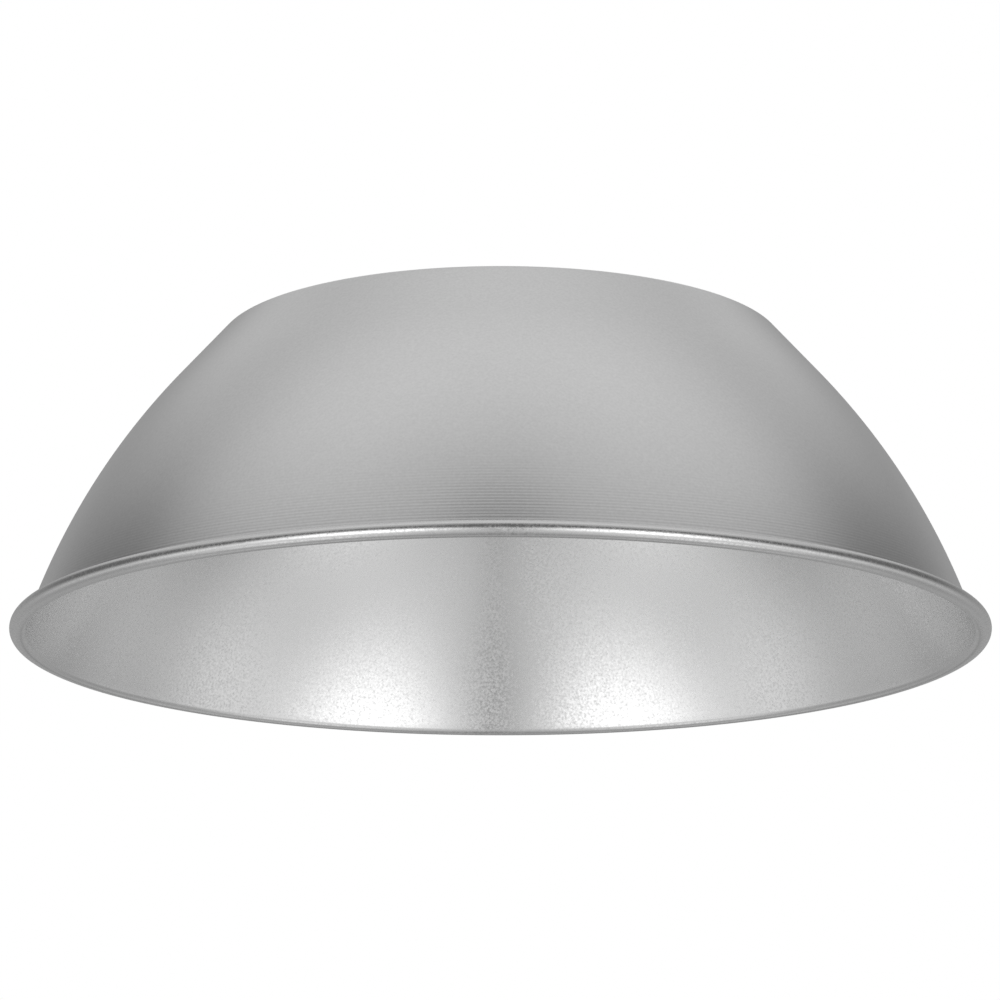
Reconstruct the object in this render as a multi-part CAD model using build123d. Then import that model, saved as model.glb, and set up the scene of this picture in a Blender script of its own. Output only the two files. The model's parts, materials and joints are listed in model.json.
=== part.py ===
from build123d import *
import os
from math import acos, asin, cos, degrees, radians, sin, sqrt

# Heat lamp fixture: a spun aluminium reflector shade on a vented steel crown plate. The plate carries
# a porcelain E27 lampholder on a strap, a wiring block under a domed cover with a cable gland, and a
# folding wire bail.
# Millimetres and degrees. +Z is up along the lamp axis, the origin is the centre of the mouth on the
# plane the rim rests on, the bail pivots on the X direction and the cable leaves towards +Y.

# ---- Shade ----
MOUTH_D = 410.0  # over the rolled rim
SHADE_H = 131.0  # from the rim's lowest line to the top of the crown flange
CROWN_D = 237.0  # where the flange's and the cone's outer faces would meet
SHEET_T = 1.0
CONE_ANGLE = 41.5  # upper wall, from vertical
CONE_LENGTH = 31.0
WALL_ARC_R = 292.0  # lower wall, tangent to the cone
CROWN_BEND_R = 2.5
RIM_ROLL_R = 3.2  # outside of the rolled edge
ROLL_END_ANGLE = 165.0  # where the rolled edge stops, just short of the wall
FLANGE_BORE_D = 200.0

# ---- Crown plate ----
PLATE_D = 226.0
PLATE_T = 1.5
PLATE_BORE_D = 48.0
SHADE_SCREW_COUNT = 6
SHADE_SCREW_PCD = 211.0
VENT_MID_R = 77.0
VENT_LENGTH = 18.0
VENT_W = 5.0
VENTS_PER_SIDE = 7
VENT_PITCH_ANGLE = 20.0

# ---- Standard fixings ----
M4_R = 2.0
M4_LENGTH = 10.0
M4_HEAD_R = 3.8
M4_HEAD_H = 2.2
M4_NUT_AF = 7.0
M4_NUT_H = 3.2
M3_R = 1.5
M3_HEAD_R = 2.8
M3_HEAD_H = 2.0
HEAD_ROUNDING = 0.6  # share of a head's height that is rounded off
CROSS_REACH = 0.55  # half length of a cross recess, as a share of the head's radius
CROSS_HALF_W = 0.12  # half width of its arms, likewise
CROSS_FLOOR = 0.45  # level of its floor, as a share of the head's height
HEX_TURN_OFF_SLOPE = 0.6  # axial share of the chamfer on hexagon corners
WASHER_R = 4.5
WASHER_T = 0.8
RIVET_R = 1.6
RIVET_HEAD_R = 2.8
RIVET_HEAD_H = 1.2
RIVET_TAIL_R = 2.2
RIVET_TAIL_H = 0.7
RIVET_HALF_PITCH = 4.5

# ---- Lampholder bracket ----
BRACKET_T = 1.5
BRACKET_W = 16.0
BRACKET_LEG_X = 26.0  # inside of each leg
BRACKET_FOOT_X = 40.0
BRACKET_RIVET_X = 34.0
STRIP_BEND_R = 2.0  # centreline of every bend in the folded strips

# ---- Lampholder ----
HOLDER_R = 22.0
SKIRT_R = 19.5
SKIRT_Z = 114.0
HOLDER_MOUTH_Z = 104.0
HOLDER_SPLIT_Z = 138.0
HOLDER_TOP_Z = 151.0
PORCELAIN_EDGE_R = 1.0
CAVITY_R = 14.4
RECESS_R = 8.0  # narrow recess above the shell's floor
WEB_Z = 130.0  # top of that recess
SHELL_R = 13.3  # inside of the lamp thread's shell
SHELL_T = 0.35
SHELL_LOW_Z = 105.0
SHELL_STEP_Z = 122.5  # end of the threaded wall
SHELL_STEP_R = 12.0
SHELL_TOP_Z = 124.3
SHELL_FLOOR_BORE_R = 7.5
SHELL_SCREW_R = 1.0
SHELL_SCREW_X = 9.9
SHELL_SCREW_HEAD_R = 1.8
SHELL_SCREW_HEAD_H = 1.1
SHELL_SCREW_END_Z = 129.5
PLUNGER_R = 2.5
PLUNGER_COLLAR_R = 3.8
PLUNGER_NOSE_Z = 124.5
PLUNGER_NOSE_EDGE_R = 1.6
COLLAR_Z = 133.0
COLLAR_T = 1.2
SPRING_BORE_R = 4.0
SPRING_MEAN_R = 3.0
SPRING_WIRE_R = 0.35
SPRING_TURNS = 4.0
TERMINAL_Z = 141.0  # underside of both terminal strips, and the porcelain shelf they lie on
TERMINAL_T = 1.0
TERMINAL_W = 6.0
TERMINAL_CORNER_R = 1.5
TERMINAL_END_Y = 21.3
TERMINAL_SCREW_Y = 16.7
TERMINAL_HEAD_R = 3.4
PHASE_PAD_END_Y = 4.2
NEUTRAL_LEG_Y = 10.9
BAR_HALF_W = 13.0
HOLDER_SCREW_X = 11.0
HOLDER_SCREW_END_Z = 131.0

# ---- Wiring block and leads ----
BLOCK_LENGTH = 33.0
BLOCK_DEPTH = 14.0
BLOCK_H = 17.5
BLOCK_Y = -35.5
BLOCK_EDGE_R = 1.2
POLE_PITCH = 10.0
POLE_Z = 141.0
CLAMP_R = 2.6
CLAMP_LENGTH = 12.0
CLAMP_SCREW_R = 1.5
CLAMP_SCREW_SINK = 0.8
BLOCK_SCREW_R = 1.2
BLOCK_HEAD_R = 2.1
BLOCK_HEAD_H = 1.4
BLOCK_SEAT_Z = 144.5
BLOCK_NUT_AF = 5.0
BLOCK_NUT_H = 2.0
SLOT_W = 0.6  # screwdriver slots
WIRE_R = 1.3
PIN_R = 0.9
PIN_LENGTH = 8.0
PIN_EXIT_X = 5.0  # where a lead's insulation starts, beside each lampholder screw
PHASE_SIDE_PULL = 6.5  # pulls: how far a lead holds its direction at each end of a curve
PHASE_BLOCK_PULL = 3.9
NEUTRAL_SIDE_PULL = 18.2
NEUTRAL_BEND_PULL = 14.3
NEUTRAL_BACK_PULL = 26.0
NEUTRAL_BLOCK_PULL = 7.8
NEUTRAL_STANDOFF = 3.3  # from the bracket's leg to the neutral lead's centre
EARTH_LUG_PULL = 9.1
EARTH_BLOCK_PULL = 6.5
EARTH_X = 32.0
EARTH_Y = -20.0
LUG_R = 4.0
LUG_T = 0.8
LUG_BARREL_R = 1.9
LUG_BARREL_BORE_R = 1.4
LUG_BARREL_L = 6.0
LUG_BARREL_END = 12.0  # from the stud to the barrel's mouth

# ---- Cover and cable gland ----
COVER_R = 48.0
COVER_FLANGE_R = 58.0
COVER_WALL_TOP_Z = 151.0  # where the dome would meet the wall
COVER_TOP_Z = 160.0
COVER_FLAT_Y = 44.0  # outside of the flat that seats the gland
COVER_T = 1.0
COVER_CORNER_R = 5.0
GASKET_T = 1.0
COVER_SCREW_PCD = 106.0
COVER_SCREW_ANGLES = (30.0, 150.0, 270.0)
GLAND_Z = 140.5
GLAND_THREAD_R = 6.0
GLAND_THREAD_L = 8.0
GLAND_HEX_AF = 16.0
GLAND_HEX_H = 5.0
GLAND_NECK_R = 6.6
GLAND_NECK_END = 13.0
GLAND_BORE_R = 3.6
GLAND_POCKET_R = 4.9
GLAND_POCKET_START = 7.0
LOCKNUT_AF = 15.0
LOCKNUT_H = 3.5
SEAL_BORE_R = 3.25
SEAL_END = 14.0
GLAND_NUT_START = 5.8
GLAND_NUT_HEX_END = 12.5
GLAND_NUT_END = 18.0
GLAND_NUT_TIP_R = 5.6
GLAND_NOSE_STEP = 0.5  # from the hexagon's flats in to the nose

# ---- Bail and its ears ----
BAIL_R = 88.0
BAIL_WIRE_R = 2.5
BAIL_END_BEND_R = 7.0
BAIL_END_X = 71.5
BAIL_EYE_R = 9.5
BAIL_EYE_CENTRE = 88.5  # from the bail's own centre
BAIL_EYE_BLEND_R = 6.0
PIVOT_HEIGHT = 7.5  # bail axis above the crown plate
REST_GAP = 0.3  # between the lowered bail and the crown flange
EAR_X = 76.0  # inner face of each ear
EAR_T = 2.0
EAR_W = 16.0
EAR_FOOT_X = 61.0
EAR_RIVET_X = 67.0
EAR_FOOT_CORNER_R = 3.0
RETAINER_R = 5.0
RETAINER_T = 0.8
RETAINER_X = 74.6

# ---- Clearances ----
THREAD_GAP = 0.05
RUN_GAP = 0.08
SLOT_GAP = 0.1
OVERLAP = 1.0  # how far two forms of one piece run into each other
HOLE_GAP = 0.25

# ---- Derived levels ----
PLATE_TOP_Z = SHADE_H - SHEET_T
PLATE_LOW_Z = PLATE_TOP_Z - PLATE_T
COVER_FOOT_Z = PLATE_TOP_Z + GASKET_T
PIVOT_Z = PLATE_TOP_Z + PIVOT_HEIGHT
PIN_Y = TERMINAL_SCREW_Y + M3_R + PIN_R + THREAD_GAP
PIN_Z = TERMINAL_Z + TERMINAL_T + PIN_R
BLOCK_FACE_Y = BLOCK_Y + BLOCK_DEPTH / 2
LUG_BARREL_Z = PLATE_TOP_Z + LUG_BARREL_R + SLOT_GAP


# ---- Helpers ----
def polar(radius, angle):
    """X and Y of a point on a circle about the origin."""
    return radius * cos(radians(angle)), radius * sin(radians(angle))


def on_circle(centre, radius, angle):
    """A point on a circle in any flat pair of coordinates."""
    across, up = polar(radius, angle)
    return centre[0] + across, centre[1] + up


def xz(point):
    """A (radius, height) pair as a point in the XZ plane."""
    return point[0], 0, point[1]


def turned(outline):
    """A solid of revolution about Z from (radius, height) corner points."""
    return revolve(make_face(Polyline([xz(point) for point in outline], close=True)), Axis.Z)


def ring(outer_r, inner_r, low_z, high_z):
    """A plain ring or washer about Z."""
    return turned([(inner_r, low_z), (outer_r, low_z), (outer_r, high_z), (inner_r, high_z)])


def rod(radius, low_z, high_z, x=0.0, y=0.0):
    """A round rod along Z."""
    return Pos(x, y, low_z) * Cylinder(radius, high_z - low_z, align=(Align.CENTER, Align.CENTER, Align.MIN))


def rod_x(radius, low_x, high_x, y, z):
    """A round rod along X."""
    return Pos(0, y, z) * Rot(0, 90, 0) * rod(radius, low_x, high_x)


def rod_y(radius, low_y, high_y, x, z):
    """A round rod along Y."""
    return Pos(x, 0, z) * Rot(-90, 0, 0) * rod(radius, low_y, high_y)


def slab(low, high):
    """A box between two opposite corners."""
    size = [b - a for a, b in zip(low, high)]
    return Pos(*low) * Box(*size, align=(Align.MIN, Align.MIN, Align.MIN))


def drilled(spots, radius, low_z, high_z):
    """Drill rods at several (x, y) spots, to be cut from a part."""
    return [rod(radius, low_z, high_z, x, y) for x, y in spots]


def placed(shape, spots, z):
    """Copies of one piece at several (x, y) spots, kept as separate solids in one group."""
    return Compound(children=[Pos(x, y, z) * shape for x, y in spots])


def domed_head(radius, height):
    """A round head with a well rounded top edge, standing on Z = 0."""
    head = rod(radius, 0, height)
    return fillet(head.edges().group_by(Axis.Z)[-1], height * HEAD_ROUNDING)


def screw(radius, length, head_r, head_h):
    """A round-head screw, head up, seated at Z = 0, with a cross recess."""
    body = domed_head(head_r, head_h) + rod(radius, -length, 0)
    half_arm = head_r * CROSS_REACH
    half_w = head_r * CROSS_HALF_W
    floor_z = head_h * CROSS_FLOOR
    body -= slab((-half_arm, -half_w, floor_z), (half_arm, half_w, head_h))
    return body - slab((-half_w, -half_arm, floor_z), (half_w, half_arm, head_h))


def hex_prism(across_flats, low_z, high_z):
    """A hexagonal bar with its corners turned off at both ends."""
    corner_r = across_flats / sqrt(3)
    bar = Pos(0, 0, low_z) * extrude(RegularPolygon(corner_r, 6), high_z - low_z)
    barrel = rod(corner_r, low_z, high_z)
    turn_off = corner_r - across_flats / 2
    return bar & chamfer(barrel.edges().filter_by(GeomType.CIRCLE), turn_off * HEX_TURN_OFF_SLOPE, turn_off)


def nut(bore_r, across_flats, height):
    """A hexagonal nut standing on Z = 0."""
    return hex_prism(across_flats, 0, height) - rod(bore_r, 0, height)


def rivet(grip):
    """A set rivet, domed head standing on Z = 0, with its flattened tail below the grip."""
    tail = rod(RIVET_TAIL_R, -grip - RIVET_TAIL_H, -grip)
    return domed_head(RIVET_HEAD_R, RIVET_HEAD_H) + rod(RIVET_R, -grip, 0) + tail


def folded_strip(corners, thickness, width):
    """A flat strip folded through (x, z) corners of its centreline, centred on Y = 0."""
    centreline = FilletPolyline(corners, radius=STRIP_BEND_R)
    return Rot(90, 0, 0) * extrude(trace(centreline, thickness), width / 2, both=True)


def curve(start, start_pull, end, end_pull):
    """A smooth curve between two spots, leaving along start_pull and arriving from end_pull."""
    return Bezier(start, Vector(*start) + start_pull, Vector(*end) + end_pull, end)


def insulated(*curves):
    """An insulated wire along joined curves."""
    path = Wire(curves)
    return sweep(Plane(origin=path @ 0, z_dir=path % 0) * Circle(WIRE_R), path)


# ---- Where the fixings go ----
def shade_screw_spots():
    return [polar(SHADE_SCREW_PCD / 2, 360 / SHADE_SCREW_COUNT * step) for step in range(SHADE_SCREW_COUNT)]


def cover_screw_spots():
    return [polar(COVER_SCREW_PCD / 2, angle) for angle in COVER_SCREW_ANGLES]


def ear_rivet_spots():
    return [(side * EAR_RIVET_X, end * RIVET_HALF_PITCH) for side in (-1, 1) for end in (-1, 1)]


def bracket_rivet_spots():
    return [(side * BRACKET_RIVET_X, end * RIVET_HALF_PITCH) for side in (-1, 1) for end in (-1, 1)]


def holder_screw_spots():
    return [(-HOLDER_SCREW_X, 0), (HOLDER_SCREW_X, 0)]


def shell_screw_spots():
    return [(-SHELL_SCREW_X, 0), (SHELL_SCREW_X, 0)]


def terminal_screw_spots():
    return [(0, -TERMINAL_SCREW_Y), (0, TERMINAL_SCREW_Y)]


def pole_spots():
    return [(step * POLE_PITCH, BLOCK_Y) for step in (-1, 0, 1)]


def block_screw_spots():
    return [(side * POLE_PITCH / 2, BLOCK_Y) for side in (-1, 1)]


# ---- Shade ----
def shade_side(depth):
    """Edges of one face of the sheet, from the flange's bore to the roll's end, depth below its outer face."""
    slope = radians(CONE_ANGLE)
    cone_end = (CROWN_D / 2 + CONE_LENGTH * sin(slope), SHADE_H - CONE_LENGTH * cos(slope))
    wall_centre = (cone_end[0] - WALL_ARC_R * cos(slope), cone_end[1] - WALL_ARC_R * sin(slope))

    # A small outside bend turns the flange into the cone.
    turn = radians(90 - CONE_ANGLE)
    crown_setback = CROWN_BEND_R * (1 - cos(turn)) / sin(turn)
    crown_centre = (CROWN_D / 2 - crown_setback, SHADE_H - CROWN_BEND_R)

    # The wall turns outward on a tight bend, runs flat, then rolls up. Both centres are one roll radius high.
    tight_r = RIM_ROLL_R - SHEET_T
    roll_centre = (MOUTH_D / 2 - RIM_ROLL_R, RIM_ROLL_R)
    reach = WALL_ARC_R + tight_r
    rise = RIM_ROLL_R - wall_centre[1]
    rim_centre = (wall_centre[0] + sqrt(reach**2 - rise**2), RIM_ROLL_R)
    wall_end = degrees(asin(rise / reach))

    def bend(centre, radius, start, end):
        angles = (start, (start + end) / 2, end)
        return ThreePointArc([xz(on_circle(centre, radius, angle)) for angle in angles])

    crown = bend(crown_centre, CROWN_BEND_R - depth, 90, CONE_ANGLE)
    wall = bend(wall_centre, WALL_ARC_R - depth, CONE_ANGLE, wall_end)
    rim = bend(rim_centre, tight_r + depth, 180 + wall_end, 270)
    roll = bend(roll_centre, tight_r + depth, -90, ROLL_END_ANGLE)
    flange = Line(xz((FLANGE_BORE_D / 2, SHADE_H - depth)), crown @ 0)
    cone = Line(crown @ 1, wall @ 0)
    flat = Line(rim @ 1, roll @ 0)
    return [flange, crown, cone, wall, rim, flat, roll]


def reflector_shade():
    """One spun sheet: flat crown flange, bend, cone, curved wall and a rim rolled outward and up."""
    outer = shade_side(0)
    inner = shade_side(SHEET_T)
    ends = [Line(outer[0] @ 0, inner[0] @ 0), Line(outer[-1] @ 1, inner[-1] @ 1)]
    shade = revolve(make_face(outer + inner + ends), Axis.Z)
    return shade - drilled(shade_screw_spots(), M4_R + HOLE_GAP, PLATE_TOP_Z, SHADE_H)


# ---- Crown plate and the fixings that clamp the shade to it ----
def vent_slot(middle_angle):
    """One arc-shaped vent with round ends."""
    angle = degrees(VENT_LENGTH / VENT_MID_R)
    middle_line = CenterArc((0, 0), VENT_MID_R, middle_angle - angle / 2, angle)
    return Pos(0, 0, PLATE_LOW_Z) * extrude(SlotArc(middle_line, VENT_W), PLATE_T)


def mounting_plate():
    """The steel disc that carries everything: a bore for the lampholder, two arcs of vents, drilled holes."""
    plate = ring(PLATE_D / 2, PLATE_BORE_D / 2, PLATE_LOW_Z, PLATE_TOP_Z)
    for step in range(VENTS_PER_SIDE):
        swing = (step - (VENTS_PER_SIDE - 1) / 2) * VENT_PITCH_ANGLE
        plate -= vent_slot(90 + swing)
        plate -= vent_slot(270 + swing)
    screw_spots = shade_screw_spots() + cover_screw_spots() + [(EARTH_X, EARTH_Y)]
    plate -= drilled(screw_spots, M4_R + HOLE_GAP, PLATE_LOW_Z, PLATE_TOP_Z)
    plate -= drilled(bracket_rivet_spots() + ear_rivet_spots(), RIVET_R, PLATE_LOW_Z, PLATE_TOP_Z)
    return plate - drilled(block_screw_spots(), BLOCK_SCREW_R + HOLE_GAP, PLATE_LOW_Z, PLATE_TOP_Z)


def m4_nuts(spots):
    """M4 nuts drawn up against the underside of the crown plate."""
    return placed(nut(M4_R + THREAD_GAP, M4_NUT_AF, M4_NUT_H), spots, PLATE_LOW_Z - M4_NUT_H)


def m4_screws(spots, seat_z):
    return placed(screw(M4_R, M4_LENGTH, M4_HEAD_R, M4_HEAD_H), spots, seat_z)


def shade_washers():
    return placed(ring(WASHER_R, M4_R + HOLE_GAP, 0, WASHER_T), shade_screw_spots(), SHADE_H)


# ---- Lampholder bracket ----
def lampholder_bracket():
    """A hat-shaped strap over the plate's bore that the lampholder hangs from."""
    half_t = BRACKET_T / 2
    foot = (BRACKET_FOOT_X, PLATE_TOP_Z + half_t)
    ankle = (BRACKET_LEG_X + half_t, PLATE_TOP_Z + half_t)
    shoulder = (BRACKET_LEG_X + half_t, HOLDER_TOP_Z + half_t)
    left_half = [(-x, z) for x, z in (foot, ankle, shoulder)]
    strap = folded_strip(left_half + [shoulder, ankle, foot], BRACKET_T, BRACKET_W)
    strap -= drilled(bracket_rivet_spots(), RIVET_R, PLATE_TOP_Z, PLATE_TOP_Z + BRACKET_T)
    return strap - drilled(holder_screw_spots(), M3_R + HOLE_GAP, HOLDER_TOP_Z, HOLDER_TOP_Z + BRACKET_T)


def bracket_rivets():
    return placed(rivet(BRACKET_T + PLATE_T), bracket_rivet_spots(), PLATE_TOP_Z + BRACKET_T)


# ---- Lampholder ----
def neutral_slot(low_z, high_z):
    """The slot in the porcelain for the upright leg of the neutral terminal."""
    half_w = TERMINAL_W / 2 + SLOT_GAP
    low_y = NEUTRAL_LEG_Y - SLOT_GAP
    return slab((-half_w, low_y, low_z), (half_w, low_y + TERMINAL_T + 2 * SLOT_GAP, high_z))


def lampholder_body():
    """Lower porcelain: skirt round the lamp thread, recess, web with the plunger's guide, spring bore."""
    shoulder_z = SKIRT_Z + HOLDER_R - SKIRT_R
    guide_r = PLUNGER_R + RUN_GAP
    outside = [(CAVITY_R, HOLDER_MOUTH_Z), (SKIRT_R, HOLDER_MOUTH_Z), (SKIRT_R, SKIRT_Z)]
    outside += [(HOLDER_R, shoulder_z), (HOLDER_R, HOLDER_SPLIT_Z)]
    spring_bore = [(SPRING_BORE_R, HOLDER_SPLIT_Z), (SPRING_BORE_R, COLLAR_Z), (guide_r, COLLAR_Z)]
    lamp_cavity = [(guide_r, WEB_Z), (RECESS_R, WEB_Z), (RECESS_R, SHELL_TOP_Z), (CAVITY_R, SHELL_TOP_Z)]
    body = turned(outside + spring_bore + lamp_cavity)
    body = fillet(body.edges().filter_by(GeomType.CIRCLE).group_by(Axis.Z)[0], PORCELAIN_EDGE_R)
    body -= neutral_slot(SHELL_TOP_Z, HOLDER_SPLIT_Z)
    body -= drilled(holder_screw_spots(), M3_R + SLOT_GAP, HOLDER_SCREW_END_Z, HOLDER_SPLIT_Z)
    return body - drilled(shell_screw_spots(), SHELL_SCREW_R + SLOT_GAP, SHELL_TOP_Z, SHELL_SCREW_END_Z)


def lampholder_base():
    """Upper porcelain: a disc with a bar across it, leaving a terminal shelf on each side of the bar."""
    bar = rod(HOLDER_R, TERMINAL_Z, HOLDER_TOP_Z)
    bar &= slab((-HOLDER_R, -BAR_HALF_W, TERMINAL_Z), (HOLDER_R, BAR_HALF_W, HOLDER_TOP_Z))
    bar = fillet(bar.edges().group_by(Axis.Z)[-1], PORCELAIN_EDGE_R)
    base = rod(HOLDER_R, HOLDER_SPLIT_Z, TERMINAL_Z) + bar
    base -= rod(SPRING_BORE_R, HOLDER_SPLIT_Z, TERMINAL_Z)
    half_w = TERMINAL_W / 2 + SLOT_GAP
    roof_z = TERMINAL_Z + TERMINAL_T + SLOT_GAP
    base -= slab((-half_w, -BAR_HALF_W, TERMINAL_Z), (half_w, PHASE_PAD_END_Y + SLOT_GAP, roof_z))
    base -= slab((-half_w, NEUTRAL_LEG_Y, TERMINAL_Z), (half_w, BAR_HALF_W, roof_z))
    base -= neutral_slot(HOLDER_SPLIT_Z, roof_z)
    base -= drilled(holder_screw_spots(), M3_R + HOLE_GAP, HOLDER_SPLIT_Z, HOLDER_TOP_Z)
    return base - drilled(terminal_screw_spots(), M3_R + SLOT_GAP, HOLDER_SPLIT_Z, TERMINAL_Z)


def screw_shell():
    """The lamp thread's shell: a plain drawn wall, a step inward and an open floor."""
    floor_z = SHELL_TOP_Z - SHELL_T
    wall_r = SHELL_R + SHELL_T
    neck_r = SHELL_STEP_R + SHELL_T
    ledge_z = SHELL_STEP_Z + SHELL_T
    outside = [(SHELL_R, SHELL_LOW_Z), (wall_r, SHELL_LOW_Z), (wall_r, ledge_z), (neck_r, ledge_z)]
    floor = [(neck_r, SHELL_TOP_Z), (SHELL_FLOOR_BORE_R, SHELL_TOP_Z), (SHELL_FLOOR_BORE_R, floor_z)]
    inside = [(SHELL_STEP_R, floor_z), (SHELL_STEP_R, SHELL_STEP_Z), (SHELL_R, SHELL_STEP_Z)]
    shell = turned(outside + floor + inside)
    return shell - drilled(shell_screw_spots(), SHELL_SCREW_R + THREAD_GAP, floor_z, SHELL_TOP_Z)


def shell_screws():
    """Small screws, heads down inside the shell, that hold it to the lower porcelain."""
    length = SHELL_SCREW_END_Z - SHELL_TOP_Z
    small = screw(SHELL_SCREW_R, length, SHELL_SCREW_HEAD_R, SHELL_SCREW_HEAD_H)
    return placed(Rot(180, 0, 0) * small, shell_screw_spots(), SHELL_TOP_Z - SHELL_T)


def contact_plunger():
    """Sprung centre contact: a rounded nose, a stem in the porcelain guide and a collar that stops it."""
    stem = rod(PLUNGER_R, PLUNGER_NOSE_Z, COLLAR_Z)
    stem = fillet(stem.edges().group_by(Axis.Z)[0], PLUNGER_NOSE_EDGE_R)
    return stem + rod(PLUNGER_COLLAR_R, COLLAR_Z, COLLAR_Z + COLLAR_T)


def contact_spring():
    """Coil spring between the plunger's collar and the phase strip."""
    low_z = COLLAR_Z + COLLAR_T + SPRING_WIRE_R
    height = TERMINAL_Z - SPRING_WIRE_R - low_z
    path = Helix(height / SPRING_TURNS, height, SPRING_MEAN_R)
    section = Plane(origin=path @ 0, z_dir=path % 0) * Circle(SPRING_WIRE_R)
    return Pos(0, 0, low_z) * sweep(section, path, is_frenet=True)


def phase_terminal():
    """A flat strip from the spring's seat out to the phase screw."""
    half_w = TERMINAL_W / 2
    top_z = TERMINAL_Z + TERMINAL_T
    strip = slab((-half_w, -TERMINAL_END_Y, TERMINAL_Z), (half_w, PHASE_PAD_END_Y, top_z))
    strip = fillet(strip.edges().filter_by(Axis.Z), TERMINAL_CORNER_R)
    return strip - rod(M3_R + THREAD_GAP, TERMINAL_Z, top_z, 0, -TERMINAL_SCREW_Y)


def neutral_terminal():
    """An angle strip: the leg stands on the shell's floor, the arm carries the neutral screw."""
    half_w = TERMINAL_W / 2
    top_z = TERMINAL_Z + TERMINAL_T
    arm = slab((-half_w, NEUTRAL_LEG_Y, TERMINAL_Z), (half_w, TERMINAL_END_Y, top_z))
    arm = fillet(arm.edges().filter_by(Axis.Z).group_by(Axis.Y)[-1], TERMINAL_CORNER_R)
    leg = slab((-half_w, NEUTRAL_LEG_Y, SHELL_TOP_Z), (half_w, NEUTRAL_LEG_Y + TERMINAL_T, top_z))
    return arm + leg - rod(M3_R + THREAD_GAP, TERMINAL_Z, top_z, 0, TERMINAL_SCREW_Y)


def holder_terminal_screws():
    """Broad-headed screws that clamp a lead's pin onto each strip."""
    seat_z = TERMINAL_Z + TERMINAL_T + 2 * PIN_R
    broad = screw(M3_R, seat_z - HOLDER_SPLIT_Z, TERMINAL_HEAD_R, M3_HEAD_H)
    return placed(broad, terminal_screw_spots(), seat_z)


def holder_screws():
    """Long screws through the bracket and upper porcelain into the lower porcelain."""
    seat_z = HOLDER_TOP_Z + BRACKET_T
    long_screw = screw(M3_R, seat_z - HOLDER_SCREW_END_Z, M3_HEAD_R, M3_HEAD_H)
    return placed(long_screw, holder_screw_spots(), seat_z)


# ---- Wiring block ----
def terminal_block():
    """Three-pole block of heat-resistant moulding, bored through for its clamps."""
    top_z = PLATE_TOP_Z + BLOCK_H
    low_y = BLOCK_Y - BLOCK_DEPTH / 2
    block = slab((-BLOCK_LENGTH / 2, low_y, PLATE_TOP_Z), (BLOCK_LENGTH / 2, BLOCK_FACE_Y, top_z))
    block = fillet(block.edges().filter_by(Axis.Z), BLOCK_EDGE_R)
    block = chamfer(block.edges().group_by(Axis.Z)[-1], BLOCK_EDGE_R / 2)
    for x, y in pole_spots():
        block -= rod_y(CLAMP_R + SLOT_GAP, low_y, BLOCK_FACE_Y, x, POLE_Z)
        block -= rod(CLAMP_SCREW_R + HOLE_GAP, POLE_Z, top_z, x, y)
    block -= drilled(block_screw_spots(), BLOCK_SCREW_R + HOLE_GAP, PLATE_TOP_Z, top_z)
    return block - drilled(block_screw_spots(), BLOCK_HEAD_R + SLOT_GAP, BLOCK_SEAT_Z, top_z)


def block_clamps():
    """Brass tubes that take a pin at each end, tapped from above for the clamp screw."""
    half_l = CLAMP_LENGTH / 2
    clamp = rod_y(CLAMP_R, -half_l, half_l, 0, 0) - rod_y(PIN_R + SLOT_GAP, -half_l, half_l, 0, 0)
    return placed(clamp - rod(CLAMP_SCREW_R + THREAD_GAP, 0, CLAMP_R), pole_spots(), POLE_Z)


def block_clamp_screws():
    """Slotted grub screws that bear on the pins inside the clamps."""
    length = PLATE_TOP_Z + BLOCK_H - CLAMP_SCREW_SINK - POLE_Z - PIN_R
    slot = slab((-CLAMP_SCREW_R, -SLOT_W / 2, length - SLOT_W), (CLAMP_SCREW_R, SLOT_W / 2, length))
    return placed(rod(CLAMP_SCREW_R, 0, length) - slot, pole_spots(), POLE_Z + PIN_R)


def block_screws():
    """Screws that hold the block to the plate, sunk between its poles."""
    length = BLOCK_SEAT_Z - PLATE_LOW_Z + BLOCK_NUT_H
    return placed(screw(BLOCK_SCREW_R, length, BLOCK_HEAD_R, BLOCK_HEAD_H), block_screw_spots(), BLOCK_SEAT_Z)


def block_nuts():
    small_nut = nut(BLOCK_SCREW_R + THREAD_GAP, BLOCK_NUT_AF, BLOCK_NUT_H)
    return placed(small_nut, block_screw_spots(), PLATE_LOW_Z - BLOCK_NUT_H)


# ---- Leads ----
def phase_wire():
    """From the phase screw's shelf, a quarter turn and down into the first pole."""
    start = (-PIN_EXIT_X, -PIN_Y, PIN_Z)
    end = (-POLE_PITCH, BLOCK_FACE_Y, POLE_Z)
    return insulated(curve(start, (-PHASE_SIDE_PULL, 0, 0), end, (0, PHASE_BLOCK_PULL, 0)))


def neutral_wire():
    """From the neutral screw's shelf, round the lampholder outside the bracket, to the middle pole."""
    start = (PIN_EXIT_X, PIN_Y, PIN_Z)
    outermost = (BRACKET_LEG_X + BRACKET_T + NEUTRAL_STANDOFF, 0, PIN_Z)
    end = (0, BLOCK_FACE_Y, POLE_Z)
    out_leg = curve(start, (NEUTRAL_SIDE_PULL, 0, 0), outermost, (0, NEUTRAL_BEND_PULL, 0))
    back_leg = curve(outermost, (0, -NEUTRAL_BACK_PULL, 0), end, (0, NEUTRAL_BLOCK_PULL, 0))
    return insulated(out_leg, back_leg)


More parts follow.
